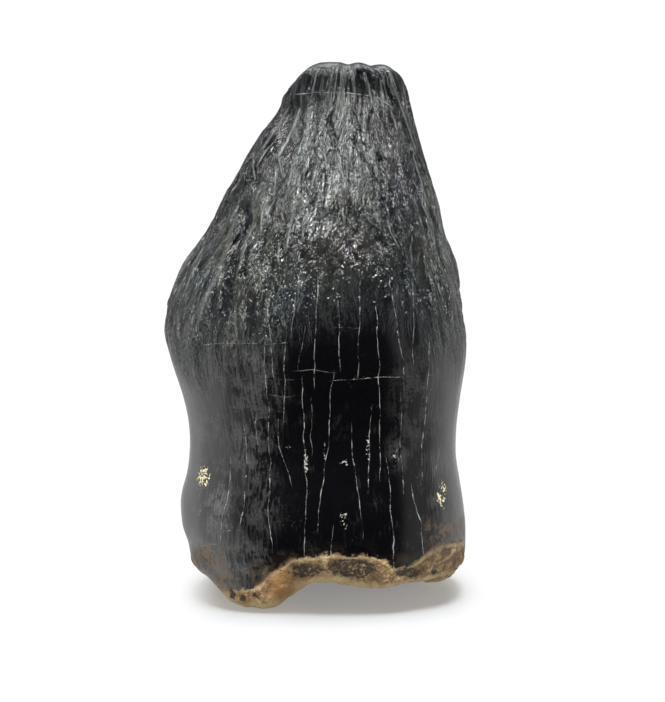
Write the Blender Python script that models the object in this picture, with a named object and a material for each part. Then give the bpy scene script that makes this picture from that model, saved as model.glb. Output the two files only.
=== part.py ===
# A fossil dinosaur tooth at its real size, standing upright on its broken root.
# The bulging outer face looks along -Y, the hollowed inner face along +Y, and the worn tip points up.
# Lengths are millimetres until the mesh is finished, and metres from then on.

import math

import bmesh
import bpy
from mathutils import Vector, noise

MILLIMETRE = 0.001

# Cross-sections of the tooth from the root's foot to the tip. Each row is
# height, left edge, right edge, outer face, inner face, widest line, squareness.
SECTIONS = (
    (0.0, -12.1, 14.5, -9.8, 10.3, 0.6, 2.3),
    (4.5, -12.7, 15.1, -10.2, 10.7, 0.4, 2.5),
    (9.5, -13.3, 14.85, -10.3, 10.5, 0.3, 2.6),
    (14.5, -12.8, 14.05, -9.6, 9.8, 0.2, 2.6),
    (19.5, -12.95, 14.3, -9.5, 9.4, 0.2, 2.5),
    (24.5, -14.5, 14.9, -10.1, 9.1, 0.3, 2.4),
    (28.5, -15.15, 14.7, -10.2, 8.8, 0.5, 2.3),
    (32.5, -13.8, 14.0, -9.4, 8.5, 0.8, 2.2),
    (36.5, -11.1, 12.7, -7.8, 8.3, 1.4, 2.1),
    (41.5, -8.4, 11.4, -5.1, 8.4, 2.6, 2.1),
    (46.5, -5.1, 10.15, -1.7, 8.6, 3.9, 2.1),
    (48.2, -3.95, 9.75, -0.55, 8.55, 4.3, 2.15),
    (50.3, -3.55, 9.3, 0.65, 8.45, 4.75, 2.2),
    (53.4, -3.1, 8.6, 1.5, 7.9, 5.0, 2.4),
)

# The hollow and the low middle ridge on the crown's inner face.
SPOON_FOOT = 22.0
SPOON_TOP = 51.0
SPOON_DEPTH = 2.3
SPOON_RIDGE = 1.1
SPOON_RIDGE_WIDTH = 0.17

# Shallow grooves that run up the root: angle in degrees, width in degrees, depth.
ROOT_GROOVES = ((-108, 11, 0.4), (-50, 9, 0.3), (72, 14, 0.7), (118, 10, 0.4))
GROOVE_TOP = 24.0

# Lengthwise ribs of the enamel, which draw together at the tip and fade out on the root.
RIB_CROWDING = 5.5
RIB_LENGTH = 15.0
RIB_DEPTH = 0.42
RIB_DEPTH_LOST_AT_TIP = 0.7
ENAMEL_FOOT = 18.5
ENAMEL_FULL = 29.5

# Knobs and pits below the middle of the crown.
KNOB_HEIGHT = 33.0
KNOB_REACH = 6.5
KNOB_SIZE = 1.9
KNOB_DEPTH = 0.32

# Gentle unevenness of the whole surface.
SWELL_SIZE = 9.0
SWELL_DEPTH = 0.35

# A thick flake of the root's skin on its left edge.
FLAKE_CENTRE = Vector((-13.2, 0.0, 8.6))
FLAKE_REACH = Vector((4.0, 6.0, 3.1))
FLAKE_DEPTH = 0.35

# The broken foot, lower at its back. It stands on three lobes, each x, y, reach, drop, and worn flat at the ground.
BREAK_HEIGHT = 2.25
BACK_DROP = 1.0
BACK_RUN = 6.0
FOOT_LOBES = ((-6.0, -6.7, 3.0, 4.0), (11.5, 4.1, 2.9, 3.2), (-7.2, 6.4, 3.0, 3.0))
LOBE_WORN = 0.35
ARCH_CENTRE = Vector((0.4, -9.5))
ARCH_REACH = 2.3
ARCH_RISE = 0.8
BREAK_GRAIN = 3.4
BREAK_ROUGHNESS = 0.45
PULP_REACH = 0.8
PULP_DEPTH = 2.6
PULP_GRAIN = 2.1
PULP_ROUGHNESS = 0.8
FOOT_ROUNDING = 1.7
FOOT_INSET = 1.3

# Spalled hollows along the outer edge of the foot: x, half-width, depth. They reach up to a lip.
SPALLS = ((-1.4, 1.9, 0.75), (3.8, 2.2, 0.85), (11.3, 1.7, 0.45))
SPALL_LIP = 5.0
SPALL_LIP_RUN = 1.1

# The worn tip is a plateau that drops away at both ends and towards the inner face.
TIP_HEIGHT = 53.5
TIP_LEFT = 0.7
TIP_LEFT_RUN = 3.8
TIP_LEFT_DROP = 2.4
TIP_RIGHT = 7.0
TIP_RIGHT_RUN = 2.4
TIP_RIGHT_DROP = 2.2
TIP_FRONT = 2.4
TIP_BACK_SLOPE = 0.42
TIP_NOTCHES = ((3.3, 0.6, 0.25), (6.0, 0.8, 0.45))
TIP_DISH = 0.3
TIP_ROUNDING = 1.1
TIP_INSET = 0.75

# A thin chip off the tip's left edge leaves a small ledge.
CHIP_HEIGHT = 47.8
CHIP_DEPTH = 0.35
CHIP_SPREAD = 34.0

# Rows of the mesh: the foot's cap, the wall and the tip's cap.
SEGMENTS = 104
FOOT_ROWS = 6
WALL_ROWS = 35
TIP_ROWS = 4
ROW_CROWDING = 0.45


def smooth_step(value, low, high):
    share = max(0.0, min(1.0, (value - low) / (high - low)))
    return share * share * (3 - 2 * share)


def bell(distance):
    return math.exp(-distance * distance)


def degrees_apart(angle, middle):
    return math.remainder(math.degrees(angle) - middle, 360)


def section_at(height):
    # The section at a height, on a smooth curve through the rows of SECTIONS.
    height = max(SECTIONS[0][0], min(SECTIONS[-1][0], height))
    index = max(i for i in range(len(SECTIONS) - 1) if SECTIONS[i][0] <= height)
    low, high = SECTIONS[index], SECTIONS[index + 1]
    before = SECTIONS[max(index - 1, 0)]
    after = SECTIONS[min(index + 2, len(SECTIONS) - 1)]
    span = high[0] - low[0]
    t = (height - low[0]) / span
    values = []
    for k in range(1, len(low)):
        slope_low = (high[k] - before[k]) / (high[0] - before[0]) * span
        slope_high = (after[k] - low[k]) / (after[0] - low[0]) * span
        values.append(
            (2 * t**3 - 3 * t**2 + 1) * low[k]
            + (t**3 - 2 * t**2 + t) * slope_low
            + (3 * t**2 - 2 * t**3) * high[k]
            + (t**3 - t**2) * slope_high
        )
    return values


def spoon_depth(across, height):
    # How far the inner face is hollowed, between thick edges and round a low middle ridge.
    rise = smooth_step(height, SPOON_FOOT, SPOON_FOOT + 9)
    fall = 1 - smooth_step(height, SPOON_TOP - 9, SPOON_TOP)
    hollow = SPOON_DEPTH * max(0.0, 1 - across * across) ** 2
    ridge = SPOON_RIDGE * bell((across - 0.06) / SPOON_RIDGE_WIDTH)
    return rise * (hollow - ridge * (0.4 + 0.6 * fall)) * (0.35 + 0.65 * fall)


def plain_wall(angle, height, inset=0.0):
    # The wall's point at an angle, with no relief, moved inwards by inset.
    left, right, outer, inner, widest, squareness = section_at(height)
    across, along = math.cos(angle), math.sin(angle)
    fullness = (abs(across) ** squareness + abs(along) ** squareness) ** (1 / squareness)
    across, along = across / fullness, along / fullness
    half_width = (right - left) / 2 - inset
    depth = (widest - outer if along < 0 else inner - widest) - inset
    x = (left + right) / 2 + half_width * across
    y = widest + depth * along
    if along > 0:
        y -= spoon_depth(across, height)
    return Vector((x, y, height))


def enamel_relief(angle, point):
    # Lengthwise ribs, with knobs and pits among them where the crown is widest.
    crown = smooth_step(point.z, ENAMEL_FOOT, ENAMEL_FULL)
    around = Vector((math.cos(angle), math.sin(angle), 0)) * RIB_CROWDING
    around.z = point.z / RIB_LENGTH
    rib = 0.45 - 2 * abs(noise.noise(around))
    rib *= 1 - RIB_DEPTH_LOST_AT_TIP * smooth_step(point.z, ENAMEL_FULL + 10, TIP_HEIGHT)
    knob = noise.noise(Vector((point.x, point.y, point.z * 0.7)) / KNOB_SIZE)
    knobby = bell((point.z - KNOB_HEIGHT) / KNOB_REACH)
    return crown * (RIB_DEPTH * rib + KNOB_DEPTH * knob * knobby)


def root_relief(angle, point):
    # Grooves up the root, and the flake on its left edge.
    away = point - FLAKE_CENTRE
    away = Vector(away[i] / FLAKE_REACH[i] for i in range(3))
    depth = FLAKE_DEPTH * (1 - smooth_step(away.length, 0.6, 1.0))
    root = 1 - smooth_step(point.z, GROOVE_TOP - 12, GROOVE_TOP)
    for middle, width, groove in ROOT_GROOVES:
        depth -= groove * bell(degrees_apart(angle, middle) / width) * root
    return depth


def spall_depth(angle, point):
    # How deep the outer edge of the foot is chipped at a point.
    facing_out = smooth_step(-math.sin(angle), 0.2, 0.6)
    below_lip = smooth_step(SPALL_LIP - point.z, 0, SPALL_LIP_RUN)
    depth = sum(deep * bell((point.x - x) / width) for x, width, deep in SPALLS)
    return depth * facing_out * below_lip


def tip_chip(angle, height):
    # How deep the thin chip at the tip's left edge is.
    above = smooth_step(height, CHIP_HEIGHT - 0.5, CHIP_HEIGHT + 0.5)
    return CHIP_DEPTH * above * bell(degrees_apart(angle, 180) / CHIP_SPREAD)


def break_height(x, y):
    # Height of the broken foot's edge over the ground.
    height = BREAK_HEIGHT - BACK_DROP * smooth_step(y, 0, BACK_RUN)
    for lobe_x, lobe_y, reach, drop in FOOT_LOBES:
        height -= drop * bell(math.hypot(x - lobe_x, y - lobe_y) / reach)
    arch = math.hypot(x - ARCH_CENTRE.x, y - ARCH_CENTRE.y) / ARCH_REACH
    height += ARCH_RISE * bell(arch)
    return height + BREAK_ROUGHNESS * noise.noise(Vector((x, y, 7.0)) / BREAK_GRAIN)


def tip_height(x, y):
    # Height of the worn tip's surface.
    left = max(0.0, TIP_LEFT - x) / TIP_LEFT_RUN
    right = max(0.0, x - TIP_RIGHT) / TIP_RIGHT_RUN
    height = TIP_HEIGHT - TIP_LEFT_DROP * left**2 - TIP_RIGHT_DROP * right**2
    for notch_x, width, depth in TIP_NOTCHES:
        height -= depth * bell((x - notch_x) / width)
    return height - TIP_BACK_SLOPE * max(0.0, y - TIP_FRONT)


def edge_height(x, y):
    # Height where the wall's rounded foot begins, a little below the ground where a lobe is worn.
    return max(-LOBE_WORN, break_height(x, y))


def rounded_inset(distance, rounding, inset):
    # How far a rounded edge has turned inwards at a distance from its end.
    turned = max(0.0, min(1.0, 1 - distance / rounding))
    return inset * (1 - math.sqrt(1 - turned * turned))


def wall_point(angle, share):
    # A point of the wall, share of the way from the broken foot to the worn tip.
    foot = plain_wall(angle, BREAK_HEIGHT, FOOT_INSET)
    tip = plain_wall(angle, TIP_HEIGHT - 2, TIP_INSET)
    low = edge_height(foot.x, foot.y)
    high = tip_height(tip.x, tip.y)
    crowded = 0.5 - 0.5 * math.cos(math.pi * share)
    share += ROW_CROWDING * (crowded - share)
    height = low + (high - low) * share
    inset = rounded_inset(height - low, FOOT_ROUNDING, FOOT_INSET)
    inset += rounded_inset(high - height, TIP_ROUNDING, TIP_INSET)
    point = plain_wall(angle, height, inset)
    stand = enamel_relief(angle, point) + root_relief(angle, point)
    stand += SWELL_DEPTH * noise.noise(point / SWELL_SIZE)
    stand -= spall_depth(angle, point) + tip_chip(angle, height)
    point += stand * Vector((math.cos(angle), math.sin(angle), 0))
    point.z = max(0.0, point.z)
    return point


def foot_point(angle, share):
    # A point of the broken underside: share is 0 at its middle and 1 at its edge.
    edge = wall_point(angle, 0)
    middle = plain_wall(0, BREAK_HEIGHT).lerp(plain_wall(math.pi, BREAK_HEIGHT), 0.5)
    x = middle.x + (edge.x - middle.x) * share
    y = middle.y + (edge.y - middle.y) * share
    inside = 1 - smooth_step(share, 0.2, 0.2 + PULP_REACH)
    grain = noise.noise(Vector((x, y, 3.0)) / PULP_GRAIN) * smooth_step(share, 0.1, 0.5)
    height = break_height(x, y) + inside * (PULP_DEPTH + PULP_ROUGHNESS * grain)
    return Vector((x, y, max(0.0, height)))


def tip_point(angle, share):
    # A point of the worn tip: share is 0 at its edge and 1 at its middle.
    edge = wall_point(angle, 1)
    smooth_edge = plain_wall(angle, edge.z, TIP_INSET)
    middle = plain_wall(math.pi, edge.z).lerp(plain_wall(0, edge.z), 0.5)
    worn = smooth_step(share, 0, 0.6)
    point = edge.lerp(smooth_edge, worn).lerp(middle, share)
    point.z += (tip_height(point.x, point.y) - TIP_DISH - edge.z) * worn
    return point


def tooth_point(angle, row):
    # Where the tooth's surface is for a vertex of the sphere it starts from.
    if row < FOOT_ROWS:
        return foot_point(angle, row / FOOT_ROWS)
    if row <= FOOT_ROWS + WALL_ROWS:
        return wall_point(angle, (row - FOOT_ROWS) / WALL_ROWS)
    return tip_point(angle, (row - FOOT_ROWS - WALL_ROWS) / TIP_ROWS)


def centre_over_ground(shape):
    # The origin is on the ground, under the middle of the tooth's width and depth.
    xs = [vert.co.x for vert in shape.verts]
    ys = [vert.co.y for vert in shape.verts]
    middle = Vector(((min(xs) + max(xs)) / 2, (min(ys) + max(ys)) / 2, 0))
    bmesh.ops.translate(shape, verts=shape.verts, vec=-middle)


def tooth_mesh():
    # A sphere's rows become the foot's cap, the wall and the tip's cap.
    rows = FOOT_ROWS + WALL_ROWS + TIP_ROWS
    shape = bmesh.new()
    bmesh.ops.create_uvsphere(shape, u_segments=SEGMENTS, v_segments=rows, radius=1)
    for vert in shape.verts:
        angle = math.atan2(vert.co.y, vert.co.x)
        latitude = math.asin(max(-1.0, min(1.0, vert.co.z)))
        row = round((latitude / math.pi + 0.5) * rows)
        vert.co = tooth_point(angle, row) * MILLIMETRE
    centre_over_ground(shape)
    mesh = bpy.data.meshes.new("tooth")
    shape.to_mesh(mesh)
    shape.free()
    mesh.shade_smooth()
    return mesh


def black_fossil():
    # Nearly black, mineral-stained enamel and dentine with a satin polish.
    material = bpy.data.materials.new("black_fossil")
    material.use_nodes = True
    shader = material.node_tree.nodes["Principled BSDF"]
    shader.inputs["Base Color"].default_value = (0.035, 0.038, 0.042, 1)
    shader.inputs["Roughness"].default_value = 0.42
    shader.inputs["Metallic"].default_value = 0
    return material


def main():
    for old in list(bpy.data.objects):
        bpy.data.objects.remove(old)
    collection = bpy.data.collections.new("fossil_tooth")
    bpy.context.scene.collection.children.link(collection)
    tooth = bpy.data.objects.new("tooth", tooth_mesh())
    tooth.data.materials.append(black_fossil())
    collection.objects.link(tooth)


main()
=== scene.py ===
import math
import random

import bmesh
import bpy
import numpy as np
from mathutils import Matrix, Vector, noise


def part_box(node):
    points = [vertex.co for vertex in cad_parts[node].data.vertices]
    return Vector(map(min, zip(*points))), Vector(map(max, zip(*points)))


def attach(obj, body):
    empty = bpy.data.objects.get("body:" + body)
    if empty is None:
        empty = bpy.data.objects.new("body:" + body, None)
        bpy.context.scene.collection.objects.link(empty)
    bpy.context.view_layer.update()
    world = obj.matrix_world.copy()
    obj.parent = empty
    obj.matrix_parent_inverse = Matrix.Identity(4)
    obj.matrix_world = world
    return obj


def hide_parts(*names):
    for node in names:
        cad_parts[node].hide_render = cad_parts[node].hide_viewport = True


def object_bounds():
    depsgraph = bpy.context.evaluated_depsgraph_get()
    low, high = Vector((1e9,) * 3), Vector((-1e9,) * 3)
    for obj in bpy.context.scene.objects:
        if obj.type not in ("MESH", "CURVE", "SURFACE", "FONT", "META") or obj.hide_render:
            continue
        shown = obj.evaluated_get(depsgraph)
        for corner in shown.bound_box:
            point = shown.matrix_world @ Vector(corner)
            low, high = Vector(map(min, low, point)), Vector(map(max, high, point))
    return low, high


# A fossil tooth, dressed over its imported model. The row's frame is kept: metres, +Z up, outer face to -Y.

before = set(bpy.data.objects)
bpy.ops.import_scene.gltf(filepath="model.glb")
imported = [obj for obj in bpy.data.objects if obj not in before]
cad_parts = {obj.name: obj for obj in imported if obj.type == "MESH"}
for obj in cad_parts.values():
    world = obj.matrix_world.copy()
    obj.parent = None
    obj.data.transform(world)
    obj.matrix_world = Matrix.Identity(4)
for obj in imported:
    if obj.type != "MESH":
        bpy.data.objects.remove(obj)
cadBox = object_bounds()
millimetre = 0.001
scene = bpy.context.scene


def smoothStep(value, low, high):
    share = np.clip((value - low) / (high - low), 0.0, 1.0)
    return share * share * (3 - 2 * share)


def bell(value):
    return np.exp(-value * value)


# The camera stands where the photograph's did, a little above the tooth's middle.
view = {
    "elevation": 10.0,
    "lens": 150.0,
    "sensor": 36.0,
    "distance": 0.2925,
    "aimRight": 0.00167,
    "aimUp": -0.00204,
    "photoWide": 665,
    "photoHigh": 702,
}


def viewAxes():
    tilt = math.radians(view["elevation"])
    right = Vector((1, 0, 0))
    up = Vector((0, math.sin(tilt), math.cos(tilt)))
    back = Vector((0, -math.cos(tilt), math.sin(tilt)))
    low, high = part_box("tooth")
    aim = Vector((0, 0, (low.z + high.z) / 2))
    aim += right * view["aimRight"] + up * view["aimUp"]
    return right, up, back, aim + back * view["distance"]


def makeCamera():
    right, up, back, place = viewAxes()
    lens = bpy.data.cameras.new("camera")
    lens.lens = view["lens"]
    lens.sensor_width = view["sensor"]
    lens.clip_start = 0.01
    lens.clip_end = 20
    camera = bpy.data.objects.new("camera", lens)
    turn = Matrix((right, up, back)).transposed().to_4x4()
    camera.matrix_world = Matrix.Translation(place) @ turn
    scene.collection.objects.link(camera)
    scene.camera = camera
    print("camera placed")


def photoPixels(points):
    # Where points, in millimetres, fall in the photograph.
    right, up, back, place = viewAxes()
    away = points * millimetre - np.array(place)
    depth = -(away @ np.array(back))
    scale = view["lens"] / view["sensor"] * view["photoHigh"] / depth
    across = view["photoWide"] / 2 + (away @ np.array(right)) * scale
    down = view["photoHigh"] / 2 - (away @ np.array(up)) * scale
    return across, down


# The tooth's fine relief, in millimetres. Flow follows the wrinkles: round the tooth, and stretched along it.
tooth = {
    "smoothing": 2,
    "joinFaces": 60,
    "joinShapes": 70,
    "enamelFoot": 20.5,
    "enamelFull": 29.0,
    "enamelArch": (-74.0, 38.0, 7.0),
    "boldRound": 7.5,
    "boldAlong": 9.0,
    "boldDepth": 0.34,
    "fineRound": 15.0,
    "fineAlong": 4.5,
    "fineDepth": 0.19,
    "sway": 0.95,
    "knobBand": (34.0, 6.0),
    "knobSize": 1.05,
    "knobDepth": 0.12,
    "pitSize": 0.85,
    "pitDepth": 0.21,
    "breakSize": 1.3,
    "breakDepth": 0.16,
    "rootSize": 2.6,
    "rootDepth": 0.05,
    "lipDepth": 0.12,
    "tipFrom": 49.3,
}


def noiseOf(points):
    return np.array([noise.noise(point) for point in points])


def cellsOf(points):
    # Distance from each point to its nearest cell centre, and to the second nearest.
    near = [noise.voronoi(point)[0][:2] for point in points]
    return np.array(near)


def smoothForm():
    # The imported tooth's own shape, without its facets.
    shape = bmesh.new()
    shape.from_mesh(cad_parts["tooth"].data)
    bmesh.ops.remove_doubles(shape, verts=shape.verts, dist=1e-6)
    bmesh.ops.join_triangles(
        shape,
        faces=shape.faces,
        angle_face_threshold=math.radians(tooth["joinFaces"]),
        angle_shape_threshold=math.radians(tooth["joinShapes"]),
    )
    mesh = bpy.data.meshes.new("tooth_form")
    shape.to_mesh(mesh)
    shape.free()
    form = bpy.data.objects.new("tooth_form", mesh)
    scene.collection.objects.link(form)
    soften = form.modifiers.new("soften", "SUBSURF")
    soften.levels = tooth["smoothing"]
    bpy.context.view_layer.update()
    seen = form.evaluated_get(bpy.context.evaluated_depsgraph_get())
    smooth = bpy.data.meshes.new_from_object(seen)
    bpy.data.objects.remove(form)
    bpy.data.meshes.remove(mesh)
    smooth.name = "fossil_tooth"
    print("smooth form", len(smooth.vertices), "points", len(smooth.polygons), "faces")
    return smooth


def readPoints(mesh):
    points = np.empty(len(mesh.vertices) * 3)
    mesh.vertices.foreach_get("co", points)
    normals = np.empty(len(mesh.vertices) * 3)
    mesh.vertex_normals.foreach_get("vector", normals)
    return points.reshape(-1, 3) / millimetre, normals.reshape(-1, 3)


def turnAround(points):
    # Each point's angle round the tooth, measured from the middle of its cross-section.
    levels = np.linspace(3, 50, 25)
    sides = []
    for level in levels:
        ring = points[np.abs(points[:, 2] - level) < 1.0]
        low, high = ring.min(0), ring.max(0)
        middle, half = (low + high) / 2, (high - low) / 2
        sides.append((middle[0], half[0], middle[1], half[1]))
    sides = np.array(sides)
    middleX, halfX, middleY, halfY = (np.interp(points[:, 2], levels, sides[:, i]) for i in range(4))
    return np.arctan2((points[:, 1] - middleY) / halfY, (points[:, 0] - middleX) / halfX)


def sculpt(mesh):
    points, normals = readPoints(mesh)
    angle = turnAround(points)
    height = points[:, 2]
    sway = noiseOf(points / 5.5) * tooth["sway"]
    around = np.stack((np.cos(angle), np.sin(angle)), 1)

    def flow(crowding, length, seed):
        turned = around * crowding + sway[:, None] * 0.6
        return np.column_stack((turned + seed, height / length + seed))

    facing = np.degrees(angle) - tooth["enamelArch"][0]
    arch = tooth["enamelArch"][2] * bell(facing / tooth["enamelArch"][1])
    crown = smoothStep(height - arch + 2.4 * noiseOf(points / 4.0), tooth["enamelFoot"], tooth["enamelFull"])
    sideways = 1 - smoothStep(np.abs(normals[:, 2]), 0.55, 0.85)

    bold = 0.5 - 2.2 * np.abs(noiseOf(flow(tooth["boldRound"], tooth["boldAlong"], 3.7)))
    fine = 0.5 - 2.2 * np.abs(noiseOf(flow(tooth["fineRound"], tooth["fineAlong"], 9.1)))
    patchy = smoothStep(noiseOf(points / 3.3 + 5.0), -0.45, 0.35)
    grooved = smoothStep(noiseOf(points / np.array((4.5, 4.5, 9.0)) + 40.0), -0.1, 0.1)
    bold = np.minimum(bold * (1 - 2 * grooved) - 0.1 * grooved, 0.3)
    wrinkle = tooth["boldDepth"] * bold + tooth["fineDepth"] * fine * (0.4 + 0.6 * patchy)

    bandMiddle, bandReach = tooth["knobBand"]
    band = bell((height - bandMiddle) / bandReach) * (0.45 + 0.55 * patchy)
    long = points * np.array((1, 1, 0.6))
    cells = cellsOf(long / tooth["knobSize"] + 2.0)
    knobs = 0.45 - cells[:, 0]
    holes = cellsOf(long / tooth["pitSize"] + 31.0)[:, 0]
    pits = 1 - smoothStep(holes, 0.12, 0.42)
    pits *= smoothStep(noiseOf(points / 2.1 + 17.0), 0.05, 0.3)
    knobby = tooth["knobDepth"] * knobs * band - tooth["pitDepth"] * pits * smoothStep(band, 0.05, 0.5)

    root = (1 - crown) * tooth["rootDepth"] * noiseOf(points / tooth["rootSize"] + 8.0)

    rind, rim, hollow = footFields(points, normals, angle)
    broken = 1 - smoothStep(rind, -0.5, 0.15)
    grain = noiseOf(points / tooth["breakSize"] + 4.0) + 0.5 * noiseOf(points / 0.6 + 6.0)
    foot = broken * tooth["breakDepth"] * grain
    foot -= tooth["lipDepth"] * hollow

    across, down = photoPixels(points)
    seen = seenShare(normals)
    drawn = drawnDepth["ridge"] * drawnRelief(across, down, crownRidges)
    drawn -= drawnDepth["groove"] * drawnRelief(across, down, crownGrooves)

    stand = crown * sideways * ((wrinkle + knobby) * (1 - 0.3 * seen) + drawn * seen) + root + foot
    low, high = (np.array(corner) / millimetre for corner in cadBox)
    moved = points + normals * stand[:, None]
    moved = np.clip(moved, low, high)
    mesh.vertices.foreach_set("co", (moved * millimetre).ravel())
    mesh.update()
    print("relief from", round(stand.min(), 2), "to", round(stand.max(), 2), "mm")

    save(mesh, "flow", flow(12.0, 5.0, 0.0))
    # How high the wrinkles and knobs stand; the enamel's colour is painted darker where this is low, as shade in its
    # creases.
    save(mesh, "ridge", np.clip(0.5 + 2.2 * wrinkle + 1.8 * knobby, 0, 1) * crown)
    save(mesh, "crown", crown * sideways)
    save(mesh, "rind", rind)
    save(mesh, "rim", rim)
    save(mesh, "hollow", hollow)
    tipHeight = height + 1.2 * noiseOf(points / 3.0 + 2.0)
    save(mesh, "tip", smoothStep(tipHeight, tooth["tipFrom"], tooth["tipFrom"] + 1.6))
    saveLines(mesh, moved, normals, angle)
    print("attributes written")


def save(mesh, name, values):
    kind = "FLOAT_VECTOR" if values.ndim == 2 else "FLOAT"
    attribute = mesh.attributes.new(name, kind, "POINT")
    attribute.data.foreach_set("vector" if values.ndim == 2 else "value", values.ravel().astype(np.float32))


# Where the black skin ends above the broken foot, and the foot's lower edge, in pixels of the photograph.
skinEdge = (
    (186, 556), (200, 572), (212, 582), (224, 588), (240, 590), (252, 588), (262, 584), (268, 576),
    (276, 571), (285, 566), (291, 561), (300, 558), (318, 557), (330, 554), (341, 556), (375, 556), (386, 562),
    (396, 568), (410, 567), (420, 560), (431, 551), (441, 546), (466, 541),
)
lowEdge = (
    (190, 560), (200, 575), (215, 584), (228, 598), (241, 607), (264, 607), (285, 600), (303, 586),
    (320, 580), (345, 585), (374, 592), (405, 587), (430, 583), (452, 579), (465, 564),
)
# Speckled hollows in the break: middle, and reach across and down.
hollows = ((306, 571, 19, 9), (352, 569, 29, 11.5), (408, 573, 15, 6))
# Where the photograph can't see, both edges stand at these heights, in millimetres, and the skin's edge wanders.
backEdge = {"skin": 4.7, "low": 1.9, "wander": 1.6, "wanderSize": 4.1}
photoScale = 10  # pixels to a millimetre


def frontShare(normals):
    # 1 where the surface looks towards the camera, 0 where it looks away.
    back = np.array(viewAxes()[2])
    return smoothStep(normals @ back, -0.05, 0.2)


def seenShare(normals):
    # The same, but 0 on the flanks too, where the photograph shows too little to draw from.
    return smoothStep(frontShare(normals), 0.5, 0.7)


def footFields(points, normals, angle):
    # Height over the edge of the black skin and over the foot's lower edge, and the speckled hollows.
    across, down = photoPixels(points)
    front = frontShare(normals) * (1 - smoothStep(points[:, 2], 9, 12))
    edge = np.array(skinEdge)
    above = (np.interp(across, edge[:, 0], edge[:, 1]) - down) / photoScale
    wander = noiseOf(points * np.array((1, 1, 0.2)) / backEdge["wanderSize"] + 12.0)
    behind = points[:, 2] - backEdge["skin"] - backEdge["wander"] * wander
    rind = np.where(points[:, 2] > 12, behind, above * front + behind * (1 - front))
    edge = np.array(lowEdge)
    above = (np.interp(across, edge[:, 0], edge[:, 1]) - down) / photoScale
    behind = points[:, 2] - backEdge["low"]
    rim = above * front + behind * (1 - front)
    hollow = np.zeros(len(points))
    for x, y, wide, high in hollows:
        reach = np.hypot((across - x) / wide, (down - y) / high)
        hollow = np.maximum(hollow, 1 - smoothStep(reach, 0.7, 1.1))
    return rind, rim, hollow * front


# Hairline cracks filled with pale mineral, each with its brightness and its points in the photograph.
uprightCracks = (
    (0.7, ((268, 304), (269, 338), (274, 376))),
    (0.9, ((264, 344), (265, 380), (268, 400), (270, 459), (269, 518), (272, 551))),
    (0.6, ((298, 281), (293, 321), (292, 338))),
    (0.7, ((318, 281), (316, 334), (315, 365), (314, 388))),
    (0.5, ((306, 329), (298, 367))),
    (0.8, ((338, 302), (340, 367))),
    (1.0, ((334, 376), (330, 400), (329, 448), (324, 469), (318, 528))),
    (0.9, ((376, 308), (379, 374), (380, 476))),
    (0.8, ((390, 281), (395, 313), (402, 355), (405, 388))),
    (0.5, ((413, 285), (413, 374))),
    (0.6, ((360, 283), (359, 334), (357, 376))),
    (0.7, ((285, 344), (284, 420))),
    (1.0, ((302, 380), (303, 400), (305, 455), (307, 480), (303, 556))),
    (0.7, ((430, 342), (426, 405), (421, 453), (422, 478))),
    (0.5, ((312, 400), (312, 453))),
    (1.0, ((371, 410), (369, 453), (368, 488))),
    (0.8, ((352, 427), (353, 455), (358, 488), (364, 535))),
    (0.9, ((386, 461), (390, 484), (393, 539), (394, 568))),
    (0.9, ((411, 488), (420, 524), (424, 556))),
    (0.5, ((402, 469), (404, 493))),
    (0.5, ((401, 400), (401, 459))),
    (0.8, ((333, 528), (331, 560))),
    (0.7, ((231, 461), (229, 493), (221, 526), (220, 545))),
    (0.9, ((247, 463), (243, 509), (240, 526))),
    (0.6, ((244, 417), (246, 461))),
    (0.8, ((256, 419), (258, 450))),
    (0.6, ((279, 417), (280, 446))),
    (0.5, ((279, 446), (287, 470), (292, 484))),
    (0.5, ((265, 575), (266, 590), (264, 605))),
    (0.5, ((438, 450), (436, 470))),
)
levelCracks = (
    (0.3, ((200, 345), (225, 343), (262, 344), (293, 342))),
    (0.25, ((297, 371), (315, 370), (335, 373))),
    (0.35, ((333, 381), (370, 378), (400, 377), (430, 375))),
    (0.15, ((276, 379), (297, 380))),
    (0.2, ((268, 395), (285, 397), (301, 396))),
    (0.15, ((254, 417), (268, 417))),
    (0.4, ((221, 532), (237, 530))),
    (0.35, ((190, 546), (219, 544))),
    (0.6, ((297, 94), (325, 92), (360, 94), (378, 98), (392, 107))),
    (0.2, ((335, 327), (357, 328))),
)
hiddenCracks = {"count": 34, "seed": 11, "radius": 11.5, "low": 4.0, "high": 33.0}
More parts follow.
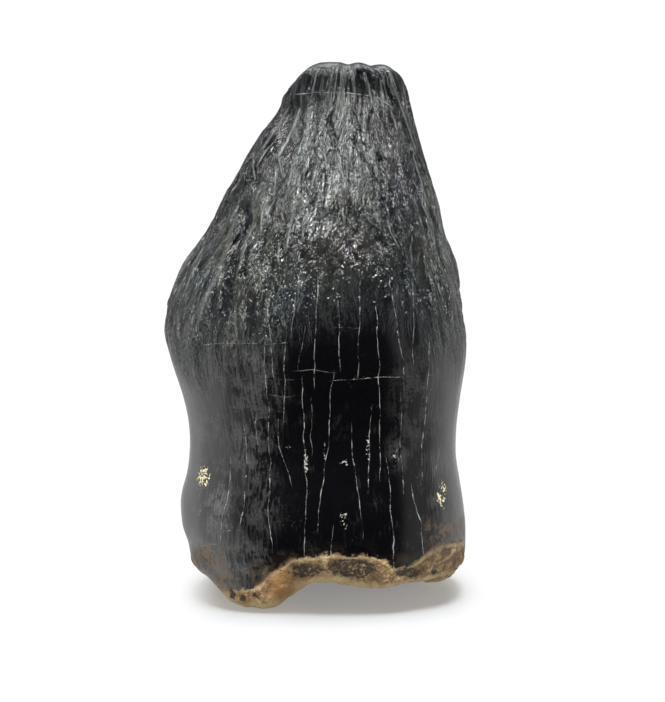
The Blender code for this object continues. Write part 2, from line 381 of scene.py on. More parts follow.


# Grooves and ridges of the crown's outer face: strength, half width and points, in the photograph's pixels. Besides
# their relief, the grooves are painted dark as shade and the ridges pale as a highlight.
crownGrooves = (
    (1.0, 5.5, ((297, 102), (292, 115), (286, 130), (280, 146))),
    (1.0, 5.5, (
        (275, 140), (269, 149), (262, 161), (254, 172), (247, 183), (239, 192), (232, 202), (225, 213), (220, 223),
    )),
    (0.8, 3.0, ((304, 104), (300, 116), (298, 130), (296, 142), (291, 152), (286, 160))),
    (1.0, 1.8, ((318, 96), (316, 112), (315, 128), (313, 141), (312, 156), (309, 172), (305, 182))),
    (1.0, 2.1, ((328, 119), (331, 130), (333, 138), (332, 149), (331, 160), (334, 170))),
    (0.6, 1.2, ((324, 168), (323, 184), (324, 197))),
    (0.55, 1.0, ((288, 104), (273, 127), (256, 151), (243, 171), (230, 192), (219, 212))),
    (0.5, 0.9, ((279, 112), (262, 140), (246, 165), (233, 186), (221, 206))),
    (0.7, 2.6, ((276, 150), (268, 160), (262, 169), (257, 178), (255, 188))),
    (1.0, 3.6, ((361, 70), (361, 82), (364, 93), (366, 104))),
    (0.85, 2.0, ((369, 71), (371, 82), (374, 92), (376, 99))),
    (1.0, 3.2, ((386, 88), (390, 98), (395, 108), (399, 118), (403, 128), (406, 138), (410, 148))),
    (0.6, 2.0, ((372, 110), (372, 123), (371, 134), (373, 146))),
    (1.0, 1.9, ((353, 109), (355, 120), (358, 130), (360, 141), (364, 151))),
    (0.9, 1.7, ((352, 136), (355, 147), (357, 158))),
    (0.7, 1.3, ((380, 114), (384, 124), (388, 133), (391, 143))),
    (0.6, 2.8, ((388, 110), (391, 121), (393, 133))),
    (0.95, 1.9, ((362, 156), (366, 163), (371, 169), (374, 177), (377, 185))),
    (0.9, 1.9, ((381, 157), (383, 168), (385, 177), (388, 186), (391, 195), (394, 203))),
    (0.7, 1.5, ((411, 152), (415, 164), (418, 175), (421, 186))),
    (0.6, 3.0, ((409, 174), (412, 187), (416, 199))),
    (0.5, 1.0, ((420, 150), (426, 166), (431, 182))),
    (0.5, 2.8, ((378, 122), (379, 136), (381, 149))),
    (0.95, 4.4, (
        (246, 206), (247, 219), (244, 231), (238, 242), (234, 253), (232, 264), (230, 275), (228, 288),
        (227, 300), (224, 315),
    )),
    (0.55, 2.6, ((216, 222), (210, 239), (206, 251), (203, 262), (196, 276))),
    (0.8, 2.6, ((250, 246), (245, 257), (243, 268), (241, 280))),
    (0.8, 1.9, ((273, 203), (272, 212), (270, 221))),
    (0.9, 1.6, ((265, 238), (262, 247), (258, 255))),
    (0.7, 1.7, ((281, 245), (282, 257))),
    (0.6, 2.4, ((214, 298), (214, 311), (216, 325))),
    (0.5, 1.6, ((184, 298), (181, 315), (182, 330), (181, 346))),
    (0.55, 4.5, ((251, 294), (252, 312), (252, 340))),
    (0.6, 1.6, ((196, 254), (190, 268), (186, 281))),
    (0.7, 2.0, ((387, 202), (391, 212), (395, 224), (399, 238))),
    (0.8, 1.5, ((420, 206), (424, 219), (427, 231))),
    (0.7, 1.1, ((430, 211), (435, 222), (438, 233))),
    (0.6, 2.6, ((373, 224), (378, 239), (384, 251))),
    (0.7, 2.0, ((399, 253), (403, 267), (405, 279))),
    (0.5, 3.6, ((345, 239), (350, 251), (357, 262))),
    (0.45, 2.0, ((440, 318), (443, 331), (445, 346))),
    (0.5, 1.6, ((306, 232), (304, 246), (302, 262))),
    (0.5, 1.5, ((336, 196), (337, 210), (335, 226))),
    (0.45, 1.4, ((412, 206), (415, 221), (420, 240), (424, 262))),
)
crownRidges = (
    (0.55, 1.2, ((290, 106), (283, 116), (277, 128), (271, 137), (262, 149))),
    (0.75, 1.5, ((299, 110), (296, 120), (292, 130), (288, 140), (283, 149), (278, 157))),
    (0.9, 0.8, ((317, 71), (315, 82), (312, 92))),
    (0.4, 0.7, ((303, 84), (300, 94), (301, 103))),
    (0.6, 1.0, ((279, 134), (275, 142), (268, 148), (262, 157), (257, 166))),
    (0.5, 0.8, ((252, 155), (253, 166), (255, 178))),
    (0.65, 0.9, ((276, 171), (275, 183), (274, 193))),
    (0.65, 0.9, ((292, 169), (290, 179), (288, 189))),
    (0.6, 0.9, ((279, 157), (280, 166), (283, 175))),
    (0.35, 2.2, ((308, 122), (306, 133), (305, 143))),
    (0.4, 1.8, ((243, 157), (233, 171), (225, 185))),
    (0.7, 1.1, ((321, 151), (326, 158), (325, 166))),
    (0.55, 1.0, ((389, 70), (391, 80), (396, 92), (400, 104), (405, 118), (411, 134), (416, 151))),
    (0.75, 1.0, ((383, 81), (386, 92), (388, 102))),
    (0.75, 0.8, ((413, 157), (417, 168), (421, 180), (424, 190), (428, 203))),
    (0.6, 1.1, ((390, 110), (395, 122), (397, 131))),
    (0.35, 2.4, ((365, 76), (368, 91))),
    (0.5, 1.0, ((352, 106), (357, 116), (359, 125))),
    (0.8, 1.2, ((342, 171), (344, 182), (345, 193))),
    (0.85, 1.1, ((266, 204), (262, 214), (261, 231))),
    (0.85, 0.8, ((275, 200), (269, 209), (267, 221))),
    (0.7, 1.2, ((292, 211), (291, 224), (288, 236), (286, 249))),
    (0.5, 1.2, ((279, 247), (278, 256), (279, 263))),
    (0.3, 2.8, ((237, 214), (230, 232), (226, 248), (222, 262), (216, 280), (208, 296), (200, 311))),
    (0.35, 2.4, ((253, 224), (247, 238), (243, 250), (241, 263))),
    (0.45, 1.5, ((235, 306), (235, 320), (237, 335), (240, 346))),
    (0.35, 1.5, ((305, 214), (303, 228), (302, 241))),
    (0.75, 0.8, ((387, 221), (390, 232), (395, 240), (399, 247))),
    (0.5, 1.0, ((373, 207), (377, 218), (381, 229))),
    (0.65, 0.8, ((422, 203), (426, 212), (429, 219), (434, 229))),
    (0.7, 1.8, ((343, 208), (344, 221))),
    (0.45, 1.0, ((430, 276), (433, 289))),
    (0.35, 1.0, ((424, 260), (427, 277))),
    (0.35, 1.0, ((412, 238), (411, 251), (412, 264))),
)
# Millimetres of relief for each pixel of a drawn line's half width, up to the widest that counts.
drawnDepth = {"groove": 0.06, "ridge": 0.04, "widest": 4, "taper": 6}


def drawnRelief(across, down, lines):
    # How deep or tall the drawn lines are, in pixels: the wider, the more.
    taper = drawnDepth["taper"]
    tall = np.zeros(len(across))
    for strength, wide, path in lines:
        path = np.array(path, float)
        away = np.abs(across - np.interp(down, path[:, 1], path[:, 0]))
        start, end = path[0, 1], path[-1, 1]
        ends = smoothStep(down, start - taper, start + taper) * (1 - smoothStep(down, end - taper, end + taper))
        here = strength * ends * min(wide, drawnDepth["widest"])
        tall = np.maximum(tall, here * (1 - smoothStep(away, 0.3 * wide, 1.5 * wide + 1)))
    return tall


def lineField(along, across, lines, wobble, reach, widths=0.0):
    # Signed distance to the nearest line, counted in its own width, and how strongly the line shows.
    distance = np.full(len(along), 99.0)
    nearest = np.full(len(along), 99.0)
    shown = np.zeros(len(along))
    for strength, wide, path in lines:
        path = np.array(path, float)
        start, end = path[0, 0], path[-1, 0]
        away = across - np.interp(along, path[:, 0], path[:, 1]) - wobble
        ends = smoothStep(along, start - reach, start + reach) * (1 - smoothStep(along, end - reach, end + reach))
        room = max(reach, widths * wide)
        here = strength * ends * (1 - smoothStep(np.abs(away), room * 0.6, room))
        near = (along > start - 2 * reach) & (along < end + 2 * reach) & (np.abs(away) < nearest)
        nearest = np.where(near, np.abs(away), nearest)
        distance = np.where(near, away / wide, distance)
        shown = np.where(near, here, shown)
    return distance, shown


def splitLines(lines, sets):
    # Shares out lines in sets, each to the set whose lines lie furthest from it.
    shared = [[] for _ in range(sets)]
    for line in lines:
        room = [min([spacing(line[-1], other[-1]) for other in chosen], default=99) for chosen in shared]
        shared[room.index(max(room))].append(line)
    return shared


def spacing(path, other):
    path, other = np.array(path, float), np.array(other, float)
    low = max(path[0, 0], other[0, 0]) - 12
    high = min(path[-1, 0], other[-1, 0]) + 12
    if low > high:
        return 90
    steps = np.linspace(low, high, 30)
    apart = np.interp(steps, path[:, 0], path[:, 1]) - np.interp(steps, other[:, 0], other[:, 1])
    return np.abs(apart).min()


def drawHiddenCracks():
    # Where the photograph can't see, cracks of the same kind run at random angles.
    drawn = random.Random(hiddenCracks["seed"])
    hidden = []
    for i in range(hiddenCracks["count"]):
        start = drawn.uniform(hiddenCracks["low"], 20)
        end = min(hiddenCracks["high"], start + drawn.uniform(5, 14))
        place = (i + drawn.uniform(0.1, 0.9)) / hiddenCracks["count"] * 2 * math.pi - math.pi
        place *= hiddenCracks["radius"]
        path = [(start + (end - start) * t / 4, place + drawn.uniform(-0.35, 0.35)) for t in range(5)]
        hidden.append((drawn.uniform(0.4, 0.9), 1.0, path))
    return hidden


# How the drawn lines are stored: their sets, a crack's unit of distance, the pixels that each kind reaches over, and
# how far they waver, with the size of the waves in millimetres.
lineStore = {
    "sets": 3,
    "crackUnit": 10.0,
    "reach": 5.0,
    "levelReach": 8.5,
    "waver": ((2.0, 2.4, 13.0), (1.1, 0.8, 21.0)),
}


def turned(lines, wide=None):
    # The same lines with each point's height first, and their own width or a given one.
    return [(line[0], wide or line[1], [(y, x) for x, y in line[-1]]) for line in lines]


def saveLines(mesh, points, normals, angle):
    across, down = photoPixels(points)
    front = frontShare(normals)
    seen = seenShare(normals)
    sets, reach, unit = lineStore["sets"], lineStore["reach"], lineStore["crackUnit"]
    slow, quick = (much * noiseOf(points / size + seed) for much, size, seed in lineStore["waver"])
    jitter = slow + quick

    def saveSets(name, fields):
        save(mesh, name + "Away", np.column_stack([field[0] for field in fields]))
        save(mesh, name + "Shown", np.column_stack([field[1] for field in fields]))

    upright = splitLines(turned(uprightCracks, unit), sets)
    fields = [lineField(down, across, chosen, jitter, reach) for chosen in upright]
    fields = [(distance, shown * seen) for distance, shown in fields]
    around = angle * hiddenCracks["radius"]
    away, shown = lineField(points[:, 2], around, drawHiddenCracks(), jitter * 0.1, 0.5)
    fields[0] = (
        np.where(front > 0.5, fields[0][0], away),
        np.where(front > 0.5, fields[0][1], shown * (1 - smoothStep(front, 0.3, 0.5))),
    )
    saveSets("crack", fields)
    level = splitLines([(strength, unit, path) for strength, path in levelCracks], sets)
    fields = [lineField(across, down, chosen, jitter * 0.6, lineStore["levelReach"]) for chosen in level]
    saveSets("level", [(distance, shown * seen) for distance, shown in fields])
    for name, lines in (("dent", crownGrooves), ("rib", crownRidges)):
        drawn = splitLines(turned(lines), sets)
        fields = [lineField(down, across, chosen, jitter * 0.5, reach, 1.8) for chosen in drawn]
        saveSets(name, [(distance, shown * seen) for distance, shown in fields])
    save(mesh, "seen", seen)


def newMaterial(name):
    material = bpy.data.materials.new(name)
    material.use_nodes = True
    return material


class Nodes:
    # Short ways to write a material's nodes.
    def __init__(self, tree):
        self.tree = tree
        self.tree.nodes.clear()

    def add(self, kind, inputs=None, **settings):
        node = self.tree.nodes.new(kind)
        for key, value in settings.items():
            setattr(node, key, value)
        for key, value in (inputs or {}).items():
            self.feed(node.inputs[key], value)
        return node

    def feed(self, socket, value):
        if isinstance(value, bpy.types.NodeSocket):
            self.tree.links.new(value, socket)
        else:
            socket.default_value = value

    def calc(self, operation, first, second=0.0, third=0.0):
        node = self.add("ShaderNodeMath", operation=operation)
        for socket, value in zip(node.inputs, (first, second, third)):
            self.feed(socket, value)
        return node.outputs[0]

    def step(self, value, low, high, start=0.0, end=1.0):
        node = self.add("ShaderNodeMapRange", interpolation_type="SMOOTHSTEP")
        for socket, given in zip(node.inputs, (value, low, high, start, end)):
            self.feed(socket, given)
        return node.outputs[0]

    def read(self, name):
        return self.add("ShaderNodeAttribute", attribute_name=name)

    def grain(self, vector, scale, detail=2.0, roughness=0.5, distortion=0.0):
        node = self.add("ShaderNodeTexNoise", noise_dimensions="3D")
        self.feed(node.inputs["Vector"], vector)
        given = {"Scale": scale, "Detail": detail, "Roughness": roughness, "Distortion": distortion}
        for key, value in given.items():
            node.inputs[key].default_value = value
        return node.outputs["Fac"]

    def strong(self, vector, scale, detail=2.0, distortion=0.0):
        # Noise stretched to run from 0 to 1.
        return self.step(self.grain(vector, scale, detail, 0.55, distortion), 0.34, 0.66)

    def line(self, value, wide, narrow):
        # 1 along the lines where noise crosses its middle value, 0 away from them.
        return self.step(self.calc("ABSOLUTE", self.calc("SUBTRACT", value, 0.5)), wide, narrow)

    def times(self, first, second):
        return self.calc("MULTIPLY", first, second)

    def most(self, first, second):
        return self.calc("MAXIMUM", first, second)

    def rest(self, value):
        return self.calc("SUBTRACT", 1.0, value)

    def weigh(self, *parts):
        total = 0.0
        for value, weight in parts:
            total = self.calc("MULTIPLY_ADD", value, weight, total)
        return total

    def bump(self, tall, depth, normal=None):
        node = self.add("ShaderNodeBump", {"Height": tall, "Distance": depth, "Strength": 1.0})
        if normal is not None:
            self.feed(node.inputs["Normal"], normal)
        return node.outputs[0]

    def blend(self, share, first, second):
        node = self.add("ShaderNodeMix", data_type="RGBA")
        self.feed(node.inputs[0], share)
        self.feed(node.inputs[6], first if isinstance(first, bpy.types.NodeSocket) else (*first, 1))
        self.feed(node.inputs[7], second if isinstance(second, bpy.types.NodeSocket) else (*second, 1))
        return node.outputs[2]

    def stretch(self, vector, scale):
        node = self.add("ShaderNodeVectorMath", operation="MULTIPLY")
        self.feed(node.inputs[0], vector)
        self.feed(node.inputs[1], scale)
        return node.outputs[0]


# Colours are linear. Grains are counted in each metre, edges are where a line starts to fade and is full, in its own
# widths, and depths of the fine bumps are metres.
fossil = {
    "rootBlack": (0.0016, 0.0016, 0.0024),
    "rootGrey": (0.015, 0.0155, 0.0155),
    "enamelDark": (0.0018, 0.0025, 0.0035),
    "enamelBlue": (0.0135, 0.026, 0.034),
    "enamelOlive": (0.044, 0.043, 0.024),
    "enamelPale": (0.20, 0.218, 0.20),
    "tipDark": (0.006, 0.0085, 0.0105),
    "crackPale": (0.32, 0.32, 0.285),
    "tan": (0.185, 0.108, 0.042),
    "cream": (0.45, 0.34, 0.175),
    "orange": (0.235, 0.12, 0.037),
    "brown": (0.07, 0.04, 0.022),
    "darkBrown": (0.020, 0.0165, 0.0125),
    "haze": (0.054, 0.055, 0.052),
    "seep": (0.12, 0.08, 0.045),
    "yellow": (0.62, 0.55, 0.33),
    "wideGrain": 220,
    "patchyGrain": 650,
    "mottleGrain": 800,
    "crackWidthGrain": 900,
    "crackBreakGrain": 1300,
    "chalkGrain": 1500,
    "darkGrain": 2400,
    "gritGrain": 2900,
    "speckleGrain": 4200,
    "gritStretch": (1.2, 1.2, 0.42),
    "streakStretch": (1.5, 1.5, 1.0),
    "hairStretch": (5.0, 5.0, 2.4),
    "grooveStretch": (1.0, 1.0, 1.1),
    "nickStretch": (2.0, 2.0, 3.4),
    "wormStretch": (2.5, 2.5, 3.4),
    "dentEdge": (1.7, 0.85),
    "ribEdge": (1.15, 0.3),
    "crackEdge": (1.5, 0.4),
    "crackWidths": (0.0075, 0.054),
    "streakDepth": 0.000055,
    "grooveDepth": 0.00018,
    "nickDepth": 0.00006,
    "wormDepth": 0.00005,
    "drawnDepth": 0.00012,
    "gritDepth": 0.000024,
    "hairDepth": 0.000016,
    "speckleDepth": 0.000012,
    "mottleDepth": 0.00012,
    "crackDepth": 0.00008,
    "rootRough": 0.2,
    "enamelRough": 0.23,
    "boneRough": 0.85,
    "refraction": 1.6,
}

# Patches that the photograph shows: middle, and reach across and down, in its pixels, then strength.
patches = {
    "pale": (
        (205, 477, 11, 16, 1.0), (202, 512, 7, 6, 0.55), (442, 494, 8, 24, 0.95), (306, 462, 3.5, 22, 1.0),
        (346, 462, 9, 8, 0.8), (344, 520, 7, 16, 0.75), (288, 448, 5, 8, 0.7), (397, 455, 7, 12, 0.7),
        (325, 455, 3.5, 24, 0.9), (368, 448, 3, 28, 0.85), (430, 500, 5, 8, 0.45), (213, 470, 5, 20, 0.4),
    ),
    "warm": (
        (282, 586, 24, 22, 1.0), (250, 598, 26, 8, 0.4), (318, 576, 12, 8, 0.3),
    ),
    "stain": (
        (200, 562, 26, 24, 1.0), (222, 582, 22, 14, 0.85), (262, 574, 14, 14, 0.7), (285, 560, 16, 10, 0.35),
        (446, 532, 28, 18, 0.7), (440, 556, 18, 15, 0.85), (464, 530, 14, 26, 0.6), (400, 560, 18, 8, 0.15),
    ),
    "spot": (
        (233, 596, 5, 5, 1.0), (243, 598, 5, 5, 1.0), (255, 595, 4, 4, 0.9), (260, 599, 3, 3, 0.7),
        (231, 589, 6, 4, 0.8), (390, 578, 8, 5, 0.6), (433, 572, 7, 5, 0.7), (455, 568, 6, 6, 0.6),
        (448, 576, 6, 3, 0.7), (221, 586, 5, 3, 0.7),
    ),
    "haze": (
        (240, 562, 32, 28, 0.9), (250, 445, 22, 46, 0.6), (255, 385, 34, 52, 0.75), (398, 452, 14, 22, 0.5),
        (218, 505, 16, 44, 0.8), (436, 485, 10, 34, 0.4), (412, 400, 26, 60, 0.4), (262, 500, 24, 44, 0.3),
        (330, 304, 46, 34, 0.25), (240, 350, 30, 20, 0.5),
    ),
    # Painted light: a painted highlight down the crown's middle and lighter patches on its flanks.
    "paintedLight": (
        (332, 118, 26, 22, 0.55), (338, 150, 32, 40, 0.25), (310, 150, 14, 50, 0.3), (252, 220, 8, 40, 0.4),
        (200, 290, 36, 52, 0.9), (228, 205, 12, 54, 0.8), (240, 340, 36, 26, 0.6), (444, 240, 18, 60, 1.0),
        (446, 338, 16, 30, 0.6),
    ),
    "calm": (
        (262, 225, 24, 44, 0.9), (338, 250, 64, 46, 0.65), (228, 250, 12, 56, 0.7), (286, 270, 16, 22, 0.6),
        (236, 318, 8, 26, 0.6), (376, 135, 8, 22, 0.6), (394, 122, 9, 18, 0.6), (426, 260, 14, 30, 0.4),
        (196, 300, 12, 26, 0.4),
    ),
    # Painted shade: dark patches on the crown and tip, where the fine bumps are also quieter.
    "paintedShade": (
        (298, 84, 42, 26, 0.95), (270, 150, 20, 48, 0.8), (355, 82, 44, 16, 0.5), (392, 318, 48, 26, 0.65),
        (345, 305, 60, 22, 0.4), (415, 190, 16, 60, 0.35), (246, 218, 7, 14, 0.8),
        (342, 263, 74, 50, 0.72), (255, 188, 24, 30, 0.35), (402, 180, 24, 56, 0.45),
    ),
}
middleStrip = (352, 45, 95)  # its middle, and where it starts to fade and ends to either side


def savePatches(mesh):
    points, normals = readPoints(mesh)
    across, down = photoPixels(points)
    for name, places in patches.items():
        field = np.zeros(len(points))
        for x, y, wide, high, strength in places:
            reach = np.hypot((across - x) / wide, (down - y) / high)
            field = np.maximum(field, strength * (1 - smoothStep(reach, 0.2, 1.25)))
        save(mesh, name, field * frontShare(normals))
    middle = 1 - smoothStep(np.abs(across - middleStrip[0]), *middleStrip[1:])
    save(mesh, "middle", middle * frontShare(normals))


def drawnLines(make, name, shape):
    # The strongest of a mesh's drawn lines, shaped by the distance from each.
    away = make.add("ShaderNodeSeparateXYZ", {0: make.read(name + "Away").outputs["Vector"]})
    shown = make.add("ShaderNodeSeparateXYZ", {0: make.read(name + "Shown").outputs["Vector"]})
    strongest = 0.0
    for distance, strength in zip(away.outputs, shown.outputs):
        line = make.times(shape(make.calc("ABSOLUTE", distance)), strength)
        strongest = make.most(strongest, line)
    return strongest


def fossilFields(make):
    # What the mesh carries at each point, and the grains, wrinkles and drawn lines that the finishes share.
    names = ("crown", "ridge", "rind", "rim", "hollow", "tip", "seen", "middle", *patches)
    on = {name: make.read(name).outputs["Fac"] for name in names}
    on["blunt"] = make.times(on["tip"], make.rest(on["crown"]))
    place = make.add("ShaderNodeTexCoord").outputs["Object"]
    flow = make.read("flow").outputs["Vector"]
    details = {"wide": 2.0, "patchy": 3.0, "mottle": 4.0, "chalk": 3.0, "dark": 2.0, "speckle": 2.0}
    for name, detail in details.items():
        on[name] = make.strong(place, fossil[name + "Grain"], detail)
    on["calm"] = make.times(on["calm"], 0.8)
    grit = make.strong(make.stretch(place, fossil["gritStretch"]), fossil["gritGrain"], 3.0)
    on["grit"] = make.calc("ADD", make.times(grit, make.rest(on["calm"])), make.times(on["calm"], 0.42))
    on["streak"] = make.strong(make.stretch(flow, fossil["streakStretch"]), 1.0, 3.0, 0.6)
    on["hair"] = make.strong(make.stretch(flow, fossil["hairStretch"]), 1.0, 3.0, 0.4)
    groove = make.grain(make.stretch(flow, fossil["grooveStretch"]), 1.0, 3.0, 0.55, 0.7)
    nick = make.grain(make.stretch(flow, fossil["nickStretch"]), 1.0, 2.0, 0.5, 1.0)
    worm = make.grain(make.stretch(flow, fossil["wormStretch"]), 1.0, 2.0, 0.5, 1.3)
    on["groove"] = make.times(make.line(groove, 0.085, 0.02), make.calc("MULTIPLY_ADD", on["seen"], -0.3, 1.0))
    on["nick"] = make.line(nick, 0.1, 0.03)
    on["worm"] = make.line(worm, 0.075, 0.015)
    ragged = make.weigh((on["grit"], 0.6), (on["patchy"], 0.4), (1.0, -0.55))
    for name in ("dent", "rib"):
        edges = fossil[name + "Edge"]
        on[name] = drawnLines(make, name, lambda away: make.step(make.calc("ADD", away, ragged), *edges))

    # The cracks are broken up along their length, and now thicker, now thinner.
    broken = make.step(make.grain(place, fossil["crackBreakGrain"], 3.0, 0.65), 0.40, 0.59, 0.05, 1.0)
    thick = make.grain(place, fossil["crackWidthGrain"], 3.0, 0.6)
    thick = make.step(thick, 0.3, 0.72, *fossil["crackWidths"])
    crack = 0.0
    for name in ("crack", "level"):
        lines = drawnLines(make, name, lambda away: make.step(make.calc("DIVIDE", away, thick), *fossil["crackEdge"]))
        crack = make.most(crack, lines)
    on["crack"] = make.times(crack, broken)
    return on


def enamelColour(make, on):
    # Grooves and low relief painted dark as shade, ridges painted paler as a highlight, and wormy pale lines and
    # specks as painted glints, over dark grey of random tone.
    streak, paintedShade, paintedLight, tip = on["streak"], on["paintedShade"], on["paintedLight"], on["tip"]
    dark, pale = fossil["enamelDark"], fossil["enamelPale"]
    # Painted shade in the creases: darker where the relief stands low, over random tone, and darker or paler in the
    # painted shade and light patches.
    toneAndCreaseShade = make.weigh(
        (on["ridge"], 0.38), (streak, 0.34), (on["grit"], 0.14), (on["patchy"], 0.17),
        (paintedShade, -0.3), (paintedLight, 0.16),
    )
    grey = make.blend(on["wide"], fossil["enamelBlue"], fossil["enamelOlive"])
    enamel = make.blend(make.step(toneAndCreaseShade, 0.3, 0.72), dark, grey)
    # Painted glints: thin wormy pale lines on the ridges, and pale specks where the enamel is palest.
    paintedGlint = make.weigh(
        (on["grit"], 0.35), (streak, 0.25), (on["ridge"], 0.4), (on["patchy"], 0.25),
        (paintedShade, -0.5), (paintedLight, 0.2), (on["dent"], -0.6),
    )
    paintedGlint = make.times(make.times(on["worm"], make.step(paintedGlint, 0.35, 1.0)), make.rest(on["calm"]))
    glintSpecks = make.weigh((toneAndCreaseShade, 0.55), (streak, 0.15), (on["grit"], 0.3), (on["speckle"], 0.3), (paintedShade, -0.2))
    glintSpecks = make.step(glintSpecks, 0.86, 1.1)
    # Painted highlight: pale streaks where the painted light patches lie.
    enamel = make.blend(make.times(paintedLight, make.step(streak, 0.3, 0.7, 0.02, 0.32)), enamel, pale)
    enamel = make.blend(make.most(paintedGlint, make.times(glintSpecks, 0.8)), enamel, pale)
    # Painted shade in the fine grooves and nicks that the bumps sink.
    grooveShade = make.most(make.times(on["groove"], 0.92), make.times(on["nick"], 0.8))
    enamel = make.blend(grooveShade, enamel, dark)
    # Painted shade: the tip band and the painted shade patches are darkened.
    enamel = make.blend(make.most(make.times(tip, 0.2), make.times(paintedShade, 0.6)), enamel, fossil["tipDark"])
    # Painted sheen on the tip: dark and pale streaks along it.
    enamel = make.blend(make.times(tip, make.step(streak, 0.58, 0.4, 0.0, 0.8)), enamel, dark)
    tipSheen = make.times(tip, make.rest(paintedShade))
    enamel = make.blend(make.times(tipSheen, make.step(streak, 0.52, 0.8, 0.0, 0.4)), enamel, pale)
    enamel = make.blend(make.times(on["calm"], 0.35), enamel, fossil["enamelOlive"])
    # Painted shade in the drawn grooves, and a painted highlight along the drawn ridges.
    enamel = make.blend(make.step(on["dent"], 0.0, 0.7), enamel, dark)
    return make.blend(make.times(on["rib"], 0.5), enamel, pale)


def rootColour(make, on):
    # Almost black in front, with smoky grey streaks and clouds at its sides.
    patchy, speckle, middle = on["patchy"], on["speckle"], on["middle"]
    smoke = make.weigh((on["hair"], 0.5), (on["wide"], 0.3), (patchy, 0.25), (middle, -0.4))
    root = make.blend(make.step(smoke, 0.35, 0.8), fossil["rootBlack"], fossil["rootGrey"])
    cloud = make.weigh((patchy, 0.4), (speckle, 0.25), (on["hair"], 0.35))
    haze = make.times(on["haze"], make.step(cloud, 0.34, 0.66, 0.1, 1.0))
    root = make.blend(haze, root, fossil["haze"])
    dust = make.step(make.weigh((speckle, 0.6), (patchy, 0.4), (middle, -0.1)), 0.84, 1.0)
    root = make.blend(make.times(dust, 0.14), root, fossil["enamelPale"])
    blunt = make.times(on["blunt"], make.step(patchy, 0.2, 0.9, 0.6, 1.0))
    return make.blend(blunt, root, fossil["tipDark"])


def boneColour(make, on):
    # Tan with cream rims, brown stains, dark spots and dark speckled hollows.
    mottle, dark, speckle = on["mottle"], on["dark"], on["speckle"]
    bone = make.step(make.weigh((mottle, 0.6), (dark, 0.4)), 0.0, 0.55)
    bone = make.blend(bone, fossil["brown"], fossil["tan"])
    chalky = make.step(make.weigh((on["chalk"], 0.6), (speckle, 0.25), (mottle, 0.25)), 0.5, 0.95)
    bone = make.blend(make.times(chalky, 0.65), bone, fossil["cream"])
    lip = make.step(make.calc("ABSOLUTE", make.calc("ADD", on["rind"], 0.16)), 0.3, 0.06)
    rimmed = make.step(make.weigh((on["rim"], 1.0), (mottle, 0.6)), 1.3, 0.35)
    bone = make.blend(make.most(make.times(lip, 0.55), make.times(rimmed, 0.92)), bone, fossil["cream"])
    bone = make.blend(make.times(on["stain"], make.step(mottle, 1.0, 0.3, 0.35, 0.95)), bone, fossil["brown"])
    bone = make.blend(make.times(on["warm"], make.step(mottle, 0.0, 0.8, 0.6, 1.0)), bone, fossil["orange"])
    pitted = make.step(make.weigh((on["hollow"], 0.55), (dark, 0.4), (speckle, 0.35)), 0.7, 0.94)
    spotted = make.step(make.weigh((on["spot"], 0.8), (dark, 0.3)), 0.5, 0.75)
    return make.blend(make.times(make.most(pitted, spotted), 0.92), bone, fossil["darkBrown"])


def fossilBumps(make, on, bare):
    # The relief too fine for the mesh, laid on one kind after another.
    crown = on["crown"]
    quiet = make.times(crown, make.calc("MULTIPLY_ADD", on["paintedShade"], -0.9, 1.0))
    layers = (
        ("streak", on["streak"], crown),
        ("groove", on["groove"], make.times(crown, -1.0)),
        ("drawn", make.calc("SUBTRACT", on["rib"], on["dent"]), crown),
        ("grit", on["grit"], quiet),
        ("nick", on["nick"], make.times(quiet, -1.0)),
        ("worm", on["worm"], quiet),
        ("hair", on["hair"], make.most(crown, make.step(on["middle"], 1.0, 0.0, 0.03, 0.5))),
        ("speckle", on["speckle"], make.most(make.calc("MULTIPLY_ADD", quiet, 0.95, 0.05), bare)),
        ("mottle", on["mottle"], bare),
    )
    bump = None
    for name, tall, share in layers:
        bump = make.bump(make.times(tall, share), fossil[name + "Depth"], bump)
    return make.bump(on["crack"], fossil["crackDepth"], bump)


